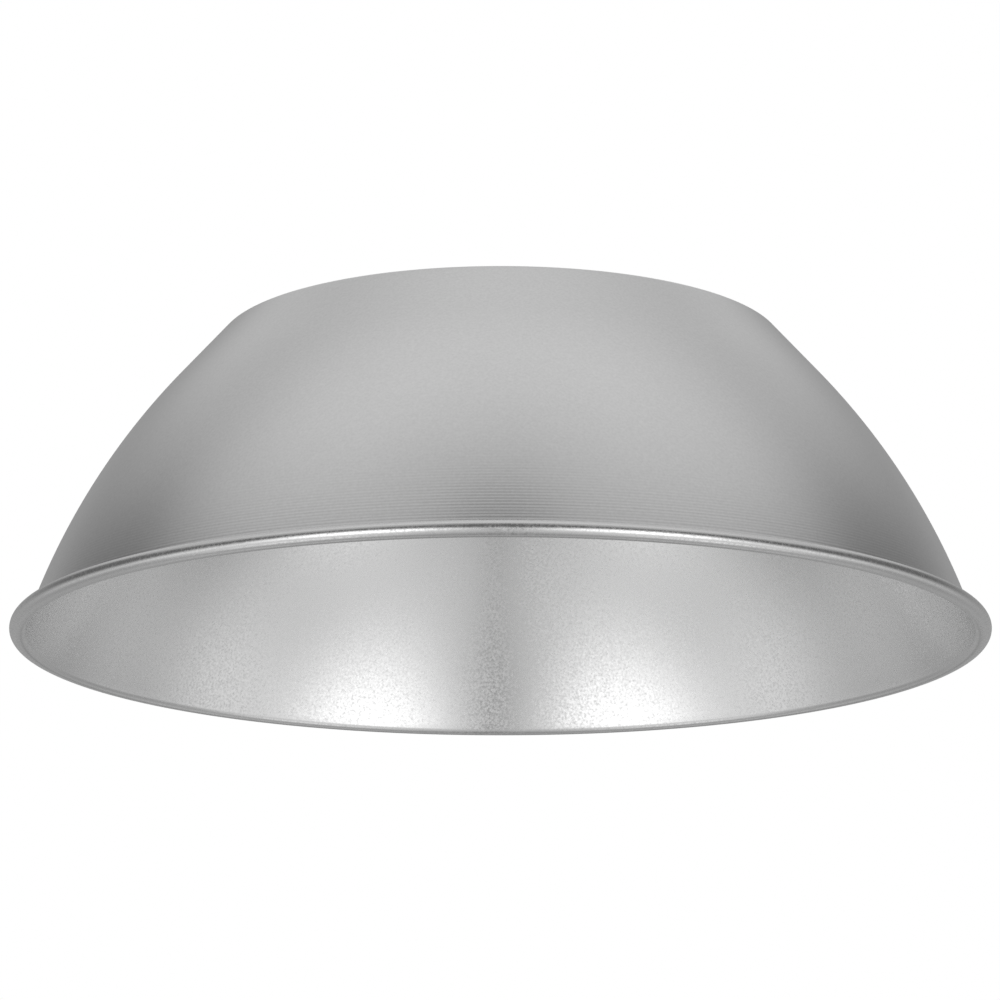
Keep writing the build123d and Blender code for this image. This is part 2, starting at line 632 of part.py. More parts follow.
def earth_wire():
    """From the third pole, a quarter turn and down into the lug's barrel."""
    mouth_x = EARTH_X - LUG_BARREL_END
    mouth = (mouth_x, EARTH_Y, LUG_BARREL_Z)
    end = (POLE_PITCH, BLOCK_FACE_Y, POLE_Z)
    crimped = rod_x(WIRE_R, mouth_x, mouth_x + LUG_BARREL_L - WIRE_R, EARTH_Y, LUG_BARREL_Z)
    return insulated(curve(mouth, (-EARTH_LUG_PULL, 0, 0), end, (0, EARTH_BLOCK_PULL, 0))) + crimped


def wire_ferrules():
    """Crimped pins on the leads' ends: three in the block, two under the lampholder's screws."""
    pins = [rod_y(PIN_R, BLOCK_FACE_Y - PIN_LENGTH, BLOCK_FACE_Y, x, POLE_Z) for x, y in pole_spots()]
    pins.append(rod_x(PIN_R, -PIN_EXIT_X, PIN_LENGTH - PIN_EXIT_X, -PIN_Y, PIN_Z))
    pins.append(rod_x(PIN_R, PIN_EXIT_X - PIN_LENGTH, PIN_EXIT_X, PIN_Y, PIN_Z))
    return Compound(children=pins)


def earth_lug():
    """Ring lug on the plate with a crimp barrel that points at the wiring block."""
    mouth_x = -LUG_BARREL_END
    barrel_end_x = mouth_x + LUG_BARREL_L
    barrel_z = LUG_BARREL_Z - PLATE_TOP_Z
    lug = rod(LUG_R, 0, LUG_T)
    lug += slab((barrel_end_x - OVERLAP, -LUG_BARREL_R, 0), (0, LUG_BARREL_R, LUG_T))
    lug += rod_x(LUG_BARREL_R, mouth_x, barrel_end_x, 0, barrel_z)
    lug -= rod_x(LUG_BARREL_BORE_R, mouth_x, barrel_end_x - LUG_T, 0, barrel_z)
    return Pos(EARTH_X, EARTH_Y, PLATE_TOP_Z) * (lug - rod(M4_R + HOLE_GAP, 0, LUG_T))


# ---- Cover ----
def cover_plan(inset, low_z, high_z):
    """A prism of the cover's D-shaped plan, inset from its outside."""
    prism = rod(COVER_R - inset, low_z, high_z)
    return prism & slab((-COVER_R, -COVER_R, low_z), (COVER_R, COVER_FLAT_Y - inset, high_z))


def cover_form(inset):
    """The cover's outside as a solid, or its inside when inset by the sheet's thickness."""
    dome_h = COVER_TOP_Z - COVER_WALL_TOP_Z
    dome_r = (COVER_R**2 + dome_h**2) / (2 * dome_h)
    dome = Pos(0, 0, COVER_TOP_Z - dome_r) * Sphere(dome_r - inset)
    form = cover_plan(inset, COVER_FOOT_Z, COVER_TOP_Z) & dome
    rim_edges = form.edges().filter_by(lambda edge: edge.center().Z > COVER_WALL_TOP_Z - COVER_CORNER_R)
    return fillet(rim_edges, COVER_CORNER_R - inset)


def terminal_cover():
    """Drawn steel cap: domed top, round wall with one flat for the gland, and a foot flange."""
    foot_top_z = COVER_FOOT_Z + COVER_T
    foot = rod(COVER_FLANGE_R, COVER_FOOT_Z, foot_top_z) - cover_plan(COVER_T, COVER_FOOT_Z, foot_top_z)
    cap = cover_form(0) - cover_form(COVER_T) + foot
    cap -= drilled(cover_screw_spots(), M4_R + HOLE_GAP, COVER_FOOT_Z, foot_top_z)
    return cap - rod_y(GLAND_THREAD_R + HOLE_GAP, COVER_FLAT_Y - 2 * COVER_T, COVER_FLAT_Y, 0, GLAND_Z)


def cover_gasket():
    gasket = rod(COVER_FLANGE_R, PLATE_TOP_Z, COVER_FOOT_Z) - cover_plan(COVER_T, PLATE_TOP_Z, COVER_FOOT_Z)
    return gasket - drilled(cover_screw_spots(), M4_R + HOLE_GAP, PLATE_TOP_Z, COVER_FOOT_Z)


# ---- Cable gland, drawn along Z with Z = 0 on the cover's flat, then laid along +Y ----
def on_cover_flat(shape):
    return Pos(0, COVER_FLAT_Y, GLAND_Z) * Rot(-90, 0, 0) * shape


def gland_body():
    """Hexagon with a thread each side, a cable bore and a pocket for the seal."""
    body = hex_prism(GLAND_HEX_AF, 0, GLAND_HEX_H)
    body += rod(GLAND_THREAD_R, -GLAND_THREAD_L, 0) + rod(GLAND_NECK_R, GLAND_HEX_H, GLAND_NECK_END)
    body -= rod(GLAND_BORE_R, -GLAND_THREAD_L, GLAND_NECK_END)
    return on_cover_flat(body - rod(GLAND_POCKET_R, GLAND_POCKET_START, GLAND_NECK_END))


def gland_locknut():
    locknut = nut(GLAND_THREAD_R + THREAD_GAP, LOCKNUT_AF, LOCKNUT_H)
    return on_cover_flat(Pos(0, 0, -COVER_T - LOCKNUT_H) * locknut)


def gland_seal():
    return on_cover_flat(ring(GLAND_POCKET_R - THREAD_GAP, SEAL_BORE_R, GLAND_POCKET_START, SEAL_END))


def gland_nut():
    """Hexagon with a tapered nose that closes on the seal."""
    skirt = hex_prism(GLAND_HEX_AF, GLAND_NUT_START, GLAND_NUT_HEX_END)
    root_r = GLAND_HEX_AF / 2 - GLAND_NOSE_STEP
    root_z = GLAND_NUT_HEX_END - OVERLAP
    nose_outline = [(0, root_z), (root_r, root_z), (root_r, GLAND_NUT_HEX_END)]
    nose = turned(nose_outline + [(GLAND_NUT_TIP_R, GLAND_NUT_END), (0, GLAND_NUT_END)])
    hollow = rod(GLAND_NECK_R + THREAD_GAP, GLAND_NUT_START, SEAL_END)
    return on_cover_flat(skirt + nose - hollow - rod(GLAND_BORE_R, GLAND_NUT_START, GLAND_NUT_END))


# ---- Bail ----
def bail_path():
    """Centreline of the right half of the bail in its own plane: X across, Y away from the pivot axis."""
    centre = (0, BAIL_END_BEND_R)
    eye_centre = (0, BAIL_END_BEND_R + BAIL_EYE_CENTRE)
    blend_reach = BAIL_R + BAIL_EYE_BLEND_R
    eye_reach = BAIL_EYE_R + BAIL_EYE_BLEND_R

    # The blend's centre closes a triangle with the centres of the bail and of its eye.
    at_bail = acos((BAIL_EYE_CENTRE**2 + blend_reach**2 - eye_reach**2) / (2 * BAIL_EYE_CENTRE * blend_reach))
    at_eye = asin(blend_reach * sin(at_bail) / eye_reach)
    bail_end = 90 - degrees(at_bail)
    eye_start = 90 - degrees(at_eye)
    blend_centre = on_circle(centre, blend_reach, bail_end)

    leg = Line((BAIL_END_X, 0), (BAIL_R - BAIL_END_BEND_R, 0))
    corner = CenterArc((BAIL_R - BAIL_END_BEND_R, BAIL_END_BEND_R), BAIL_END_BEND_R, -90, 90)
    bow = CenterArc(centre, BAIL_R, 0, bail_end)
    blend = CenterArc(blend_centre, BAIL_EYE_BLEND_R, 180 + bail_end, eye_start - bail_end)
    eye = CenterArc(eye_centre, BAIL_EYE_R, eye_start, 90 - eye_start)
    return [leg, corner, bow, blend, eye]


def bail():
    """Round wire bent to a half circle, with an eye at its middle and both ends turned in to the ears."""
    right = bail_path()
    path = Wire(right + mirror(right, about=Plane.YZ).edges())
    section = Plane(origin=path @ 0, z_dir=path % 0) * Circle(BAIL_WIRE_R)
    reach = BAIL_END_BEND_R + BAIL_EYE_CENTRE + BAIL_EYE_R
    drop = PIVOT_Z - SHADE_H - BAIL_WIRE_R - REST_GAP
    return Pos(0, 0, PIVOT_Z) * Rot(-degrees(asin(drop / reach)), 0, 0) * sweep(section, path)


def bail_retainers():
    """Push-on rings that stop the bail's ends from springing out of the ears."""
    push_ring = Rot(0, 90, 0) * ring(RETAINER_R, BAIL_WIRE_R, 0, RETAINER_T)
    right = Pos(RETAINER_X, 0, PIVOT_Z) * push_ring
    left = Pos(-RETAINER_X - RETAINER_T, 0, PIVOT_Z) * push_ring
    return Compound(children=[left, right])


def bail_ear_right():
    """Bent steel ear: a riveted foot and a round-topped upright with the pivot hole."""
    half_t = EAR_T / 2
    corners = [(EAR_FOOT_X, PLATE_TOP_Z + half_t), (EAR_X + half_t, PLATE_TOP_Z + half_t)]
    ear = folded_strip(corners + [(EAR_X + half_t, PIVOT_Z + EAR_W / 2)], EAR_T, EAR_W)
    ear = fillet(ear.edges().filter_by(Axis.X).group_by(Axis.Z)[-1], EAR_W / 2 - THREAD_GAP)
    ear = fillet(ear.edges().filter_by(Axis.Z).group_by(Axis.X)[0], EAR_FOOT_CORNER_R)
    right_spots = [spot for spot in ear_rivet_spots() if spot[0] > 0]
    ear -= drilled(right_spots, RIVET_R, PLATE_TOP_Z, PLATE_TOP_Z + EAR_T)
    return ear - rod_x(BAIL_WIRE_R + RUN_GAP, EAR_X, EAR_X + EAR_T, 0, PIVOT_Z)


def ear_rivets():
    return placed(rivet(EAR_T + PLATE_T), ear_rivet_spots(), PLATE_TOP_Z + EAR_T)


def all_parts():
    """Every sub-part by the name of its file."""
    right_ear = bail_ear_right()
    return {
        "reflector_shade": reflector_shade(),
        "mounting_plate": mounting_plate(),
        "shade_screws": m4_screws(shade_screw_spots(), SHADE_H + WASHER_T),
        "shade_washers": shade_washers(),
        "shade_nuts": m4_nuts(shade_screw_spots()),
        "lampholder_bracket": lampholder_bracket(),
        "bracket_rivets": bracket_rivets(),
        "lampholder_body": lampholder_body(),
        "lampholder_base": lampholder_base(),
        "screw_shell": screw_shell(),
        "shell_screws": shell_screws(),
        "contact_plunger": contact_plunger(),
        "contact_spring": contact_spring(),
        "phase_terminal": phase_terminal(),
        "neutral_terminal": neutral_terminal(),
        "holder_terminal_screws": holder_terminal_screws(),
        "holder_screws": holder_screws(),
        "terminal_block": terminal_block(),
        "block_clamps": block_clamps(),
        "block_clamp_screws": block_clamp_screws(),
        "block_screws": block_screws(),
        "block_nuts": block_nuts(),
        "phase_wire": phase_wire(),
        "neutral_wire": neutral_wire(),
        "earth_wire": earth_wire(),
        "wire_ferrules": wire_ferrules(),
        "earth_lug": earth_lug(),
        "earth_screw": m4_screws([(EARTH_X, EARTH_Y)], PLATE_TOP_Z + LUG_T),
        "earth_nut": m4_nuts([(EARTH_X, EARTH_Y)]),
        "terminal_cover": terminal_cover(),
        "cover_gasket": cover_gasket(),
        "cover_screws": m4_screws(cover_screw_spots(), COVER_FOOT_Z + COVER_T),
        "cover_nuts": m4_nuts(cover_screw_spots()),
        "gland_body": gland_body(),
        "gland_locknut": gland_locknut(),
        "gland_seal": gland_seal(),
        "gland_nut": gland_nut(),
        "bail": bail(),
        "bail_retainers": bail_retainers(),
        "bail_ear_left": mirror(right_ear, Plane.YZ),
        "bail_ear_right": right_ear,
        "ear_rivets": ear_rivets(),
    }


if __name__ == "__main__":
    os.makedirs("parts", exist_ok=True)
    for name, shape in all_parts().items():
        export_step(shape, f"parts/{name}.step")
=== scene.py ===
import json
import math

import bmesh
import bpy
from mathutils import Matrix, Vector


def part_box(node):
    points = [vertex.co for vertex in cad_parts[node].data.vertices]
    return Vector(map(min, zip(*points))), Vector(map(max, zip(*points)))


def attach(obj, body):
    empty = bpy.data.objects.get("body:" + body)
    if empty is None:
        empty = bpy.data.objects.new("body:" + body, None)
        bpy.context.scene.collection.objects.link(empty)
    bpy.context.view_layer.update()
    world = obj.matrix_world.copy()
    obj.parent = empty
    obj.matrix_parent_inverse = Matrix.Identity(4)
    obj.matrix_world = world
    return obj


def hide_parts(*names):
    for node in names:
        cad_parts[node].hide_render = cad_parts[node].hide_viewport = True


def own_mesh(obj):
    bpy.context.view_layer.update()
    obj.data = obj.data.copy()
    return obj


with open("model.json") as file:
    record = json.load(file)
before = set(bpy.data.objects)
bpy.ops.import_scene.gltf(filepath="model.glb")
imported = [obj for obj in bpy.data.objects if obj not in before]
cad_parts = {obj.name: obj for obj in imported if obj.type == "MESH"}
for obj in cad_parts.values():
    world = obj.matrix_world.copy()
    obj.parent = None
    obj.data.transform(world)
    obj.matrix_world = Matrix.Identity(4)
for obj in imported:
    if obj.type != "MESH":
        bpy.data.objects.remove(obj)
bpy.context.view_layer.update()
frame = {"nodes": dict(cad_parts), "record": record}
NODES = frame["nodes"]

# ---- Levels and radii of the shade, read from the frame ----
SHADE_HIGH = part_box("reflector_shade")[1]
RIM_R = SHADE_HIGH.x
CROWN_Z = SHADE_HIGH.z

# ---- Camera: below the rim, looking up into the dome ----
CAMERA_ELEVATION = -13.65  # degrees; negative is below the aim point
CAMERA_DISTANCE = 1.895
CAMERA_LENS = 161.4  # millimetres, as is the sensor's width
SENSOR_WIDTH = 36.0
CAMERA_SHIFT = -0.0005
AIM_HEIGHT = 0.0631
FLOOR_Z = -2.6
FLOOR_SIZE = 60.0
FLOOR_LIFT = 0.45  # glow of the floor, which keeps it pale under the dim sky

# ---- Studio: bands are (strength, where they start, where they are full), as parts of the unit sphere ----
CEILING = (0.36, 0.40, 0.72)
FLOOR_BOUNCE = (0.33, 0.44, 0.83)
ROOM_BEHIND = (0.37, 0.25, 1.0)
DARKEST = 0.13  # no direction is darker than this
# Softboxes stand in pairs left and right: azimuth from the camera's side, elevation, strength, sharpness.
# A negative strength is a dark card. A pair at azimuth 0 counts twice in one place.
SOFTBOXES = [
    (33, -14, 1.84, 15),  # key lights beside the camera, below the rim
    (28, -46, 0.15, 9),  # lower front fill
    (77, -20, 0.70, 14),  # side lights
    (114, -16, 0.41, 16),  # side lights, further back
    (71, -58, 0.45, 30),  # low fill
    (71, 64, 0.22, 9),  # overhead, left and right
    (0, -28, 0.05, 10),  # front fill below the camera
    (0, 90, 0.06, 11),  # overhead, centre
    (0, 42, -0.3, 90),  # dark card over the camera
    (109, 31, -0.09, 55),  # dark cards at the sides
    (92, 50, 0.04, 30),  # side lights, above
]
# The dark gap between the key lights: half width, depth, and where it starts and is full below the horizon.
CAMERA_GAP = (0.075, 0.31, 0.05, 0.25)

# ---- The sheet's profile, as in the CAD ----
SHEET_T = 0.001
CROWN_D = 0.237
CONE_ANGLE = 41.5
CONE_LENGTH = 0.031
WALL_ARC_R = 0.292
CROWN_BEND_R = 0.0025
RIM_ROLL_R = 0.0032
ROLL_END_ANGLE = 165.0
FLANGE_BORE_D = 0.2
SHADE_SCREWS = 6
SHADE_SCREW_R = 0.1055
HOLE_R = 0.00225
HOLE_SIDES = 32
FLANGE_STEPS = 6
BEND_STEPS = 8
CONE_STEPS = 12
WALL_STEPS = 48
RIM_STEPS = 10
ROLL_STEPS = 40
SHADE_SEGMENTS = 720

# ---- Contact spring and lamp thread ----
SPRING_WIRE_R = 0.00035
SPRING_COILS = 5
SPRING_CLOSED = 0.75  # turns that lie together at each end
SPRING_STEPS = 60
SPRING_SIDES = 12
SHELL_T = 0.00035
SHELL_STEP_H = 0.0018
SHELL_STEP_R = 0.012
SHELL_BORE_R = 0.0075
THREAD_PITCH = 0.00363
THREAD_DEPTH = 0.001
THREAD_RUN_OUT = 0.002
THREAD_ROWS = 84
THREAD_SIDES = 160

# ---- Surface detail of the spun sheet ----
ALUMINIUM_TONE = 0.87
SATIN_ROUGHNESS = 0.27
SATIN_CLOUDS = 0.06  # how much duller the satin gets in patches
SATIN_STRETCH = 0.4  # anisotropy of the turned surface
GRAIN_SCALE = 950.0
GRAIN_TILT = 0.08  # how far a pebble of the grain leans
GRAIN_ROUGHNESS = 0.25
GRAIN_GLOSS = 0.7  # how much roughness differs from pebble to pebble
GRAIN_SHINIEST = 0.12
GRAIN_SHADE = 0.08  # how much colour differs from pebble to pebble
OUTSIDE_GRAIN = 1.8  # the colour's difference outside, as a multiple of that
BEAD_GRAINED = 14  # steps of the rolled bead that have the full grain
BEAD_FADE = 6  # steps over which it fades
GROOVE_PITCH = 0.0014
GROOVE_DEPTH = 0.00003
GROOVED_HEIGHT = 0.05
GROOVES_ABOVE = 0.12  # how much of the groove depth is left above that height
DRIFT_SCALE = 900.0  # of the uneven depth from groove to groove

# ---- All finishes ----
SHARP_ANGLE = 50  # degrees; flatter edges are shaded smooth
RUBBED_METAL = (0.86, 0.86, 0.86, 1)
DULL_SPOT = (0.45, 0.45, 0.44, 1)


# ---- Node helpers ----
class Graph:
    """A short way to write a node tree: each call adds one node and links its inputs."""

    def __init__(self, tree):
        self.tree = tree
        tree.nodes.clear()

    def add(self, kind, **settings):
        node = self.tree.nodes.new(kind)
        for name, value in settings.items():
            setattr(node, name, value)
        return node

    def link(self, source, target):
        if hasattr(source, "is_output"):
            self.tree.links.new(source, target)
        else:
            target.default_value = source

    def math(self, operation, *inputs, clamp=False):
        node = self.add("ShaderNodeMath", operation=operation, use_clamp=clamp)
        for value, socket in zip(inputs, node.inputs):
            self.link(value, socket)
        return node.outputs[0]

    def vector(self, operation, *inputs):
        node = self.add("ShaderNodeVectorMath", operation=operation)
        for value, socket in zip(inputs, node.inputs):
            self.link(value, socket)
        return node.outputs["Value" if operation in ("DOT_PRODUCT", "LENGTH") else "Vector"]

    def ramp(self, factor, stops, interpolation="LINEAR"):
        node = self.add("ShaderNodeValToRGB")
        node.color_ramp.interpolation = interpolation
        elements = node.color_ramp.elements
        while len(elements) < len(stops):
            elements.new(0.5)
        for element, (place, value) in zip(elements, stops):
            element.position = place
            element.color = (value, value, value, 1.0)
        self.link(factor, node.inputs[0])
        return node.outputs[0]

    def noise(self, vector, scale, detail=2.0, roughness=0.5):
        node = self.add("ShaderNodeTexNoise")
        self.link(vector, node.inputs["Vector"])
        node.inputs["Scale"].default_value = scale
        node.inputs["Detail"].default_value = detail
        node.inputs["Roughness"].default_value = roughness
        return node.outputs["Fac"]

    def mix(self, factor, a, b):
        node = self.add("ShaderNodeMix", data_type="FLOAT")
        self.link(factor, node.inputs[0])
        self.link(a, node.inputs[2])
        self.link(b, node.inputs[3])
        return node.outputs[0]

    def mix_color(self, factor, a, b):
        node = self.add("ShaderNodeMix", data_type="RGBA")
        self.link(factor, node.inputs[0])
        self.link(a, node.inputs[6])
        self.link(b, node.inputs[7])
        return node.outputs[2]

    def band(self, value, strength, start, end):
        """Rises smoothly from 0 to a strength as value goes from start to end."""
        node = self.add("ShaderNodeMapRange", interpolation_type="SMOOTHSTEP")
        for number, socket in zip((value, start, end, 0.0, strength), node.inputs):
            self.link(number, socket)
        return node.outputs[0]

    def softbox(self, ray, azimuth, elevation, strength, sharpness):
        """A round soft light, brightest in one direction."""
        facing = self.vector("DOT_PRODUCT", ray, direction(azimuth, elevation))
        away = self.math("SUBTRACT", facing, 1.0)
        return self.math("MULTIPLY", self.math("EXPONENT", self.math("MULTIPLY", away, sharpness)), strength)


# ---- Studio light ----
def direction(azimuth, elevation):
    """A unit vector; azimuth 0 points from the object to the camera's side and turns towards +X."""
    a, e = math.radians(azimuth), math.radians(elevation)
    return (math.sin(a) * math.cos(e), -math.cos(a) * math.cos(e), math.sin(e))


def camera_gap(g, ray):
    """1 everywhere but in an upright strip where the camera stands between the lights."""
    half_width, depth, start, full = CAMERA_GAP
    across = g.math("POWER", g.math("DIVIDE", ray["X"], half_width), 2.0)
    strip = g.math("EXPONENT", g.math("MULTIPLY", across, -1.0))
    below = g.band(g.math("MULTIPLY", ray["Z"], -1.0), depth, start, full)
    return g.math("SUBTRACT", 1.0, g.math("MULTIPLY", strip, below))


def build_world():
    """The studio as the metal sees it. The camera itself sees plain white behind the object."""
    world = bpy.data.worlds.new("studio")
    bpy.context.scene.world = world
    world.use_nodes = True
    g = Graph(world.node_tree)
    ray = g.add("ShaderNodeTexCoord").outputs["Generated"]
    height = g.add("ShaderNodeSeparateXYZ")
    g.link(ray, height.inputs[0])
    light = g.band(height.outputs["Z"], *CEILING)
    light = g.math("ADD", light, g.band(g.math("MULTIPLY", height.outputs["Z"], -1.0), *FLOOR_BOUNCE))
    light = g.math("ADD", light, g.band(height.outputs["Y"], *ROOM_BEHIND))
    for azimuth, elevation, strength, sharpness in SOFTBOXES:
        for side in (-1, 1):
            light = g.math("ADD", light, g.softbox(ray, side * azimuth, elevation, strength, sharpness))
    light = g.math("MULTIPLY", light, camera_gap(g, height.outputs))
    light = g.math("MAXIMUM", light, DARKEST)
    shown = g.mix(g.add("ShaderNodeLightPath").outputs["Is Camera Ray"], light, 1.0)
    background = g.add("ShaderNodeBackground")
    g.link(shown, background.inputs["Color"])
    output = g.add("ShaderNodeOutputWorld")
    g.link(background.outputs[0], output.inputs[0])


# ---- Stage ----
def build_stage():
    """A pale floor far below. The metal doesn't see it, since the sky already holds its light."""
    bpy.ops.mesh.primitive_plane_add(size=FLOOR_SIZE, location=(0, 0, FLOOR_Z))
    floor = bpy.context.object
    floor.name = "floor"
    floor.visible_glossy = False
    floor.visible_diffuse = False
    material = bpy.data.materials.new("floor")
    material.use_nodes = True
    shader = material.node_tree.nodes["Principled BSDF"]
    shader.inputs["Base Color"].default_value = (0.9, 0.9, 0.9, 1)
    shader.inputs["Emission Color"].default_value = (1.0, 1.0, 1.0, 1)
    shader.inputs["Emission Strength"].default_value = FLOOR_LIFT
    floor.data.materials.append(material)


def build_camera():
    """Looks at a point above the rim's centre from in front and below."""
    data = bpy.data.cameras.new("camera")
    camera = bpy.data.objects.new("camera", data)
    bpy.context.scene.collection.objects.link(camera)
    data.lens = CAMERA_LENS
    data.sensor_width = SENSOR_WIDTH
    data.shift_x = CAMERA_SHIFT
    aim = Vector((0, 0, AIM_HEIGHT))
    camera.location = aim + CAMERA_DISTANCE * Vector(direction(0, CAMERA_ELEVATION))
    camera.rotation_euler = (aim - camera.location).to_track_quat("-Z", "Y").to_euler()
    bpy.context.scene.camera = camera


# ---- Shade, turned from the same profile as the CAD sheet ----
def on_arc(centre, radius, start, end, steps):
    """Points on an arc in the (radius, height) plane, angles in degrees."""
    angles = [math.radians(start + (end - start) * i / steps) for i in range(steps + 1)]
    return [(centre[0] + radius * math.cos(a), centre[1] + radius * math.sin(a)) for a in angles]


def on_line(start, end, steps):
    """Points between two corners, without the corners themselves."""
    shares = [i / steps for i in range(1, steps)]
    return [(start[0] + (end[0] - start[0]) * t, start[1] + (end[1] - start[1]) * t) for t in shares]


def sheet_side(depth):
    """One face of the sheet, this deep below the outer one, from bore to rolled rim."""
    slope = math.radians(CONE_ANGLE)
    crown_r = CROWN_D / 2
    cone_end = (crown_r + CONE_LENGTH * math.sin(slope), CROWN_Z - CONE_LENGTH * math.cos(slope))
    wall_centre = (cone_end[0] - WALL_ARC_R * math.cos(slope),
                   cone_end[1] - WALL_ARC_R * math.sin(slope))
    turn = math.radians(90 - CONE_ANGLE)
    setback = CROWN_BEND_R * (1 - math.cos(turn)) / math.sin(turn)
    crown_centre = (crown_r - setback, CROWN_Z - CROWN_BEND_R)
    tight_r = RIM_ROLL_R - SHEET_T
    reach = WALL_ARC_R + tight_r
    rise = RIM_ROLL_R - wall_centre[1]
    rim_centre = (wall_centre[0] + math.sqrt(reach**2 - rise**2), RIM_ROLL_R)
    wall_end = math.degrees(math.asin(rise / reach))
    roll_centre = (RIM_R - RIM_ROLL_R, RIM_ROLL_R)

    crown = on_arc(crown_centre, CROWN_BEND_R - depth, 90, CONE_ANGLE, BEND_STEPS)
    wall = on_arc(wall_centre, WALL_ARC_R - depth, CONE_ANGLE, wall_end, WALL_STEPS)
    rim = on_arc(rim_centre, tight_r + depth, 180 + wall_end, 270, RIM_STEPS)
    roll = on_arc(roll_centre, tight_r + depth, -90, ROLL_END_ANGLE, ROLL_STEPS)
    flange_edge = (FLANGE_BORE_D / 2, CROWN_Z - depth)
    flange = [flange_edge] + on_line(flange_edge, crown[0], FLANGE_STEPS)
    cone = on_line(crown[-1], wall[0], CONE_STEPS)
    return flange + crown + cone + wall + rim + roll


def lathe(name, outline, segments):
    """Turns a closed (radius, height) outline about Z."""
    mesh = bpy.data.meshes.new(name)
    turns = [2 * math.pi * i / segments for i in range(segments)]
    points = [(r * math.cos(t), r * math.sin(t), z) for t in turns for r, z in outline]
    count = len(outline)
    faces = []
    for i in range(segments):
        here, there = i * count, (i + 1) % segments * count
        for j in range(count):
            k = (j + 1) % count
            faces.append((here + j, there + j, there + k, here + k))
    mesh.from_pydata(points, [], faces)
    mesh.update()
    piece = bpy.data.objects.new(name, mesh)
    bpy.context.scene.collection.objects.link(piece)
    return piece


def face_outward(mesh):
    """Turns all faces of a closed mesh outward."""
    work = bmesh.new()
    work.from_mesh(mesh)
    bmesh.ops.recalc_face_normals(work, faces=work.faces)
    work.to_mesh(mesh)
    work.free()


def drill_crown(shade):
    """Cuts the holes for the crown's screws."""
    drill = bpy.data.meshes.new("drill")
    work = bmesh.new()
    for i in range(SHADE_SCREWS):
        angle = 2 * math.pi * i / SHADE_SCREWS
        x, y = SHADE_SCREW_R * math.cos(angle), SHADE_SCREW_R * math.sin(angle)
        bmesh.ops.create_cone(work, cap_ends=True, segments=HOLE_SIDES, radius1=HOLE_R, radius2=HOLE_R,
                              depth=4 * SHEET_T, matrix=Matrix.Translation((x, y, CROWN_Z)))
    work.to_mesh(drill)
    work.free()
    tool = bpy.data.objects.new("drill", drill)
    bpy.context.scene.collection.objects.link(tool)
    cut = shade.modifiers.new("holes", "BOOLEAN")
    cut.operation = "DIFFERENCE"
    cut.object = tool
    apply_modifiers(shade)
    bpy.data.objects.remove(tool)


def apply_modifiers(piece):
    """Makes the modified shape the piece's own mesh."""
    graph = bpy.context.evaluated_depsgraph_get()
    mesh = bpy.data.meshes.new_from_object(piece.evaluated_get(graph))
    piece.modifiers.clear()
    piece.data = mesh


def build_shade():
    """The spun shade, turned from the CAD's profile in finer steps."""
    outer, inner = sheet_side(0.0), sheet_side(SHEET_T)
    shade = lathe("spun_shade", outer + inner[::-1], SHADE_SEGMENTS)
    face_outward(shade.data)
    mark_shade(shade.data, outer, inner)
    drill_crown(shade)
    finish_piece(shade, "reflector_shade", spun_aluminium())


def mark_shade(mesh, outer, inner):
    """Stores, per point, the distance along the profile and how much of the etched grain it has."""
    travel = [0.0]
    for (r0, z0), (r1, z1) in zip(outer, outer[1:]):
        travel.append(travel[-1] + math.hypot(r1 - r0, z1 - z0))
    along = travel + travel[::-1]
    bead = [min(max(1.0 - (i - BEAD_GRAINED) / BEAD_FADE, 0.0), 1.0) for i in range(ROLL_STEPS + 1)]
    etched = [0.0] * len(outer) + ([1.0] * (len(inner) - len(bead)) + bead)[::-1]
    count = len(along)
    for name, values in (("along", along), ("etched", etched)):
        attribute = mesh.attributes.new(name, "FLOAT", "POINT")
        attribute.data.foreach_set("value", [values[i % count] for i in range(len(mesh.vertices))])


# ---- Materials ----
def new_material(name):
    """A material of one Principled shader: returns it, its graph and the shader's inputs."""
    material = bpy.data.materials.new(name)
    material.use_nodes = True
    g = Graph(material.node_tree)
    shader = g.add("ShaderNodeBsdfPrincipled")
    output = g.add("ShaderNodeOutputMaterial")
    g.link(shader.outputs[0], output.inputs[0])
    return material, g, shader.inputs


def paint(node, material):
    """Gives a CAD node its only material."""
    mesh = NODES[node].data
    mesh.materials.clear()
    mesh.materials.append(material)


def groove_height(g, place):
    """Grooves of the spinning tool. They run round the shade, so they vary only along its profile."""
    at = g.add("ShaderNodeSeparateXYZ")
    g.link(place, at.inputs[0])
    along = g.add("ShaderNodeAttribute", attribute_name="along").outputs["Fac"]
    groove = g.math("SINE", g.math("MULTIPLY", along, 2 * math.pi / GROOVE_PITCH))
    drift = g.add("ShaderNodeTexNoise", noise_dimensions="1D")
    g.link(g.math("MULTIPLY", along, DRIFT_SCALE), drift.inputs["W"])
    drift.inputs["Scale"].default_value = 1.0
    drift.inputs["Detail"].default_value = 2.0
    near_rim = g.math("SUBTRACT", 1.0, g.math("DIVIDE", at.outputs["Z"], GROOVED_HEIGHT), clamp=True)
    deeper = g.math("POWER", near_rim, 2.0)
    depth = g.math("MULTIPLY_ADD", deeper, 1.0 - GROOVES_ABOVE, GROOVES_ABOVE)
    return g.math("MULTIPLY", g.math("MULTIPLY_ADD", groove, 0.5, drift.outputs["Fac"]), depth)


